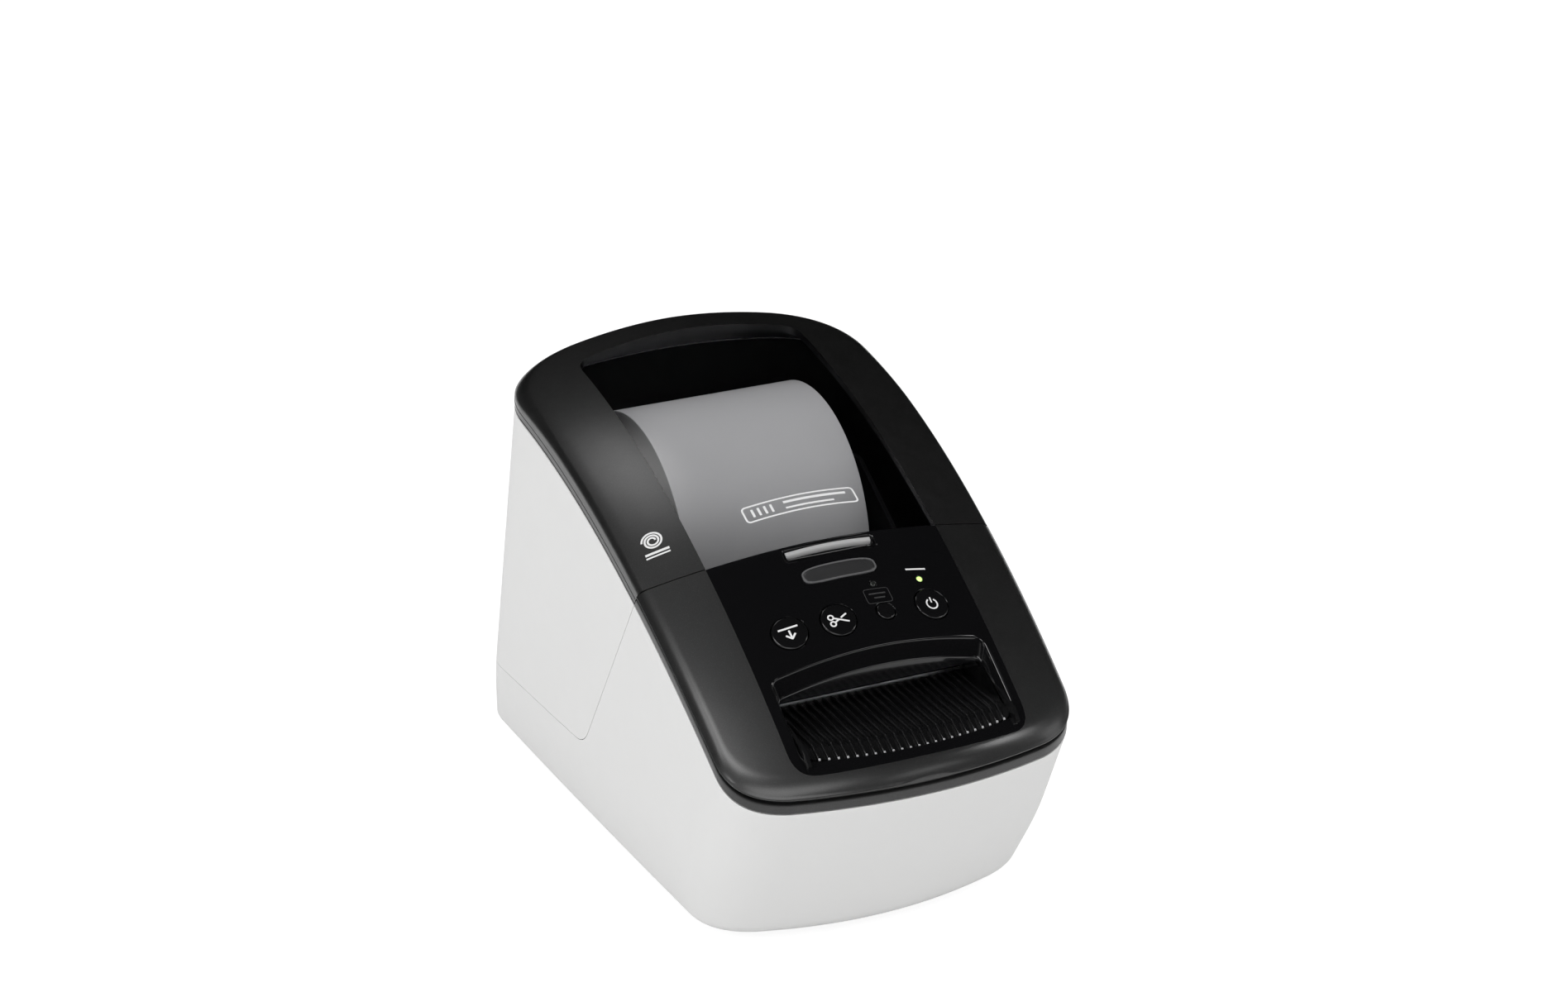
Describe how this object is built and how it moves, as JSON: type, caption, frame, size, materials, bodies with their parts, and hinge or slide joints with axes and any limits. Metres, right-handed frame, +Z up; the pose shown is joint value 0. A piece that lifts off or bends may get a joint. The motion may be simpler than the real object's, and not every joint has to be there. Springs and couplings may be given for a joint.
{
  "type": "thermal label printer",
  "caption": "Compact desktop thermal label printer with a hinged rear cover, smoked window over the label roll, push buttons, automatic cutter and ribbed front outlet.",
  "frame": {"origin": "centre of the footprint, on the surface the printer stands on", "axes": "+X to the printer's right as its user faces it, +Y to the rear, +Z up; labels leave towards -Y"},
  "size_m": [0.131, 0.2192, 0.1529],
  "materials": {
    "white_shell": "fine satin texture",
    "matte_black_frame": "fine spark-eroded grain",
    "gloss_black_panel": "polished",
    "smoked_window": "polished, smoked and see-through",
    "black_plastic": "satin moulded",
    "black_button": "polished",
    "grey_strip": "satin",
    "lit_lens": "clear, lit yellow-green",
    "unlit_lens": "dark clear",
    "rubber_feet": "matte",
    "platen_rubber": "ground",
    "steel_sheet": "zinc plated, brushed",
    "steel_rod": "ground",
    "blade_steel": "hardened, ground",
    "spring_steel": "rolled",
    "screw_steel": "zinc plated",
    "motor_can": "drawn steel can",
    "brass_pinion": "cut",
    "nylon_gear": "natural nylon",
    "head_ceramic": "glazed edge",
    "circuit_board": "solder mask with parts",
    "power_board": "phenolic board with parts",
    "ribbon_cable": "flexible",
    "label_paper": "smooth coated",
    "core_card": "spiral wound",
    "socket_metal": "tin plated"
  },
  "bodies": {
    "base": {"main_housing": "white_shell", "front_bezel": "matte_black_frame", "control_panel": "gloss_black_panel", "outlet_chute": "black_plastic", "catch_strip": "grey_strip", "status_lens": "lit_lens", "editor_lens": "unlit_lens", "bottom_plate": "black_plastic", "foot_front_left": "rubber_feet", "foot_front_right": "rubber_feet", "foot_rear_left": "rubber_feet", "foot_rear_right": "rubber_feet", "base_screw_front_left": "screw_steel", "base_screw_front_right": "screw_steel", "base_screw_rear_left": "screw_steel", "base_screw_rear_right": "screw_steel", "button_board": "circuit_board", "main_board": "circuit_board", "power_supply_board": "power_board", "mains_inlet": "black_plastic", "data_socket": "socket_metal", "roll_compartment": "black_plastic", "spool_guide_left": "black_plastic", "spool_guide_right": "black_plastic", "label_web": "label_paper", "mechanism_base": "black_plastic", "side_plate_left": "steel_sheet", "side_plate_right": "steel_sheet", "feed_motor": "motor_can", "head_pivot_pin": "steel_rod", "head_cable": "ribbon_cable", "label_sensor": "black_plastic", "cutter_frame": "steel_sheet", "fixed_blade": "blade_steel", "cutter_motor": "motor_can", "hinge_pin_left": "steel_rod", "hinge_pin_right": "steel_rod"},
    "cover": {"cover_shell": "white_shell", "cover_frame": "matte_black_frame", "cover_window": "smoked_window", "cover_latch_left": "black_plastic", "cover_latch_right": "black_plastic"},
    "feed_button": {"feed_button": "black_button"},
    "cut_button": {"cut_button": "black_button"},
    "editor_button": {"editor_button": "black_button"},
    "power_button": {"power_button": "black_button"},
    "label_roll": {"label_roll": "label_paper", "roll_core": "core_card"},
    "platen": {"platen_rubber": "platen_rubber", "platen_shaft": "steel_rod", "platen_gear": "nylon_gear"},
    "idler": {"idler_gear": "nylon_gear"},
    "motor_pinion": {"motor_pinion": "brass_pinion"},
    "print_head": {"print_head": "head_ceramic", "head_bracket": "steel_sheet", "head_spring": "spring_steel"},
    "cutter_gear": {"cutter_gear": "nylon_gear"},
    "cutter_pinion": {"cutter_pinion": "brass_pinion"},
    "moving_blade": {"moving_blade": "blade_steel"}
  },
  "joints": [
    {"name": "cover_hinge", "type": "hinge", "parent": "base", "child": "cover", "pos_m": [0, 0.0982, 0.0395], "axis": [-1, 0, 0], "range_deg": [0, 80]},
    {"name": "feed_button_press", "type": "slide", "parent": "base", "child": "feed_button", "axis": [0.143, 0.519, -0.8427], "range_m": [0, 0.0008], "stiffness_N_per_m": 600},
    {"name": "cut_button_press", "type": "slide", "parent": "base", "child": "cut_button", "axis": [0.0553, 0.523, -0.8505], "range_m": [0, 0.0008], "stiffness_N_per_m": 600},
    {"name": "editor_button_press", "type": "slide", "parent": "base", "child": "editor_button", "axis": [-0.0518, 0.5235, -0.8504], "range_m": [0, 0.0008], "stiffness_N_per_m": 600},
    {"name": "power_button_press", "type": "slide", "parent": "base", "child": "power_button", "axis": [-0.1405, 0.5191, -0.8431], "range_m": [0, 0.0008], "stiffness_N_per_m": 600},
    {"name": "label_roll_spin", "type": "hinge", "parent": "base", "child": "label_roll", "pos_m": [0, 0.0422, 0.0924], "axis": [1, 0, 0], "continuous": true},
    {"name": "platen_spin", "type": "hinge", "parent": "base", "child": "platen", "pos_m": [0, -0.04, 0.0735], "axis": [1, 0, 0], "continuous": true},
    {"name": "idler_spin", "type": "hinge", "parent": "base", "child": "idler", "pos_m": [0.049, -0.0292, 0.0548], "axis": [1, 0, 0], "continuous": true},
    {"name": "motor_pinion_spin", "type": "hinge", "parent": "base", "child": "motor_pinion", "pos_m": [0.049, -0.0376, 0.04025], "axis": [1, 0, 0], "continuous": true},
    {"name": "head_release", "type": "hinge", "parent": "base", "child": "print_head", "pos_m": [0, -0.02, 0.084], "axis": [-1, 0, 0], "range_deg": [0, 6]},
    {"name": "cutter_gear_turn", "type": "hinge", "parent": "base", "child": "cutter_gear", "pos_m": [-0.046, -0.0549, 0.0834], "axis": [0, 1, 0], "range_deg": [0, 180]},
    {"name": "cutter_pinion_turn", "type": "hinge", "parent": "base", "child": "cutter_pinion", "pos_m": [-0.046, -0.0549, 0.0694], "axis": [0, 1, 0], "range_deg": [-450, 0]},
    {"name": "blade_slide", "type": "slide", "parent": "base", "child": "moving_blade", "axis": [0, 0, -1], "range_m": [0, 0.006]}
  ],
  "couplings": [
    {"joint": "platen_spin", "follows": "label_roll_spin", "ratio": -7.4167},
    {"joint": "idler_spin", "follows": "label_roll_spin", "ratio": 5.9333},
    {"joint": "motor_pinion_spin", "follows": "label_roll_spin", "ratio": -14.833},
    {"joint": "head_release", "follows": "cover_hinge", "ratio": 0.075},
    {"joint": "cutter_pinion_turn", "follows": "cutter_gear_turn", "ratio": -2.5},
    {"joint": "blade_slide", "follows": "cutter_gear_turn", "m_per_rad": 0.0019099}
  ]
}
